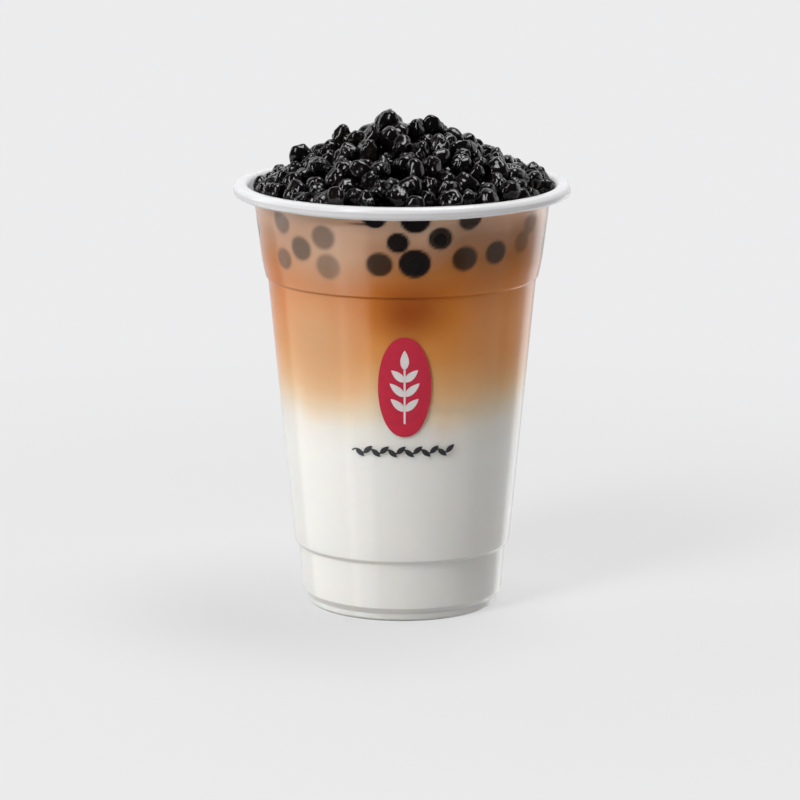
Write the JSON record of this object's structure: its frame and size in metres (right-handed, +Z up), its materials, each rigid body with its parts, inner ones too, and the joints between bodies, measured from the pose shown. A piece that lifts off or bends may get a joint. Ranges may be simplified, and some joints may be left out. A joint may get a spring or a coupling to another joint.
{
  "type": "bubble tea",
  "caption": "Clear plastic takeaway cup of layered milk tea, heaped above its rim with black tapioca pearls.",
  "frame": {"origin": "centre of the ring that the cup stands on", "axes": "+Z up along the cup's axis, and the printed front of the cup faces -Y"},
  "size_m": [0.095, 0.095, 0.1415],
  "materials": {
    "cup": "clear, with a milky rim",
    "milk": "liquid",
    "tea": "liquid, paler towards the milk",
    "pearls": "wet gloss",
    "print": "printed ink"
  },
  "bodies": {
    "root": {"cup": "cup", "milk": "milk", "tea": "tea", "pearl_heap": "pearls"}
  },
  "joints": []
}
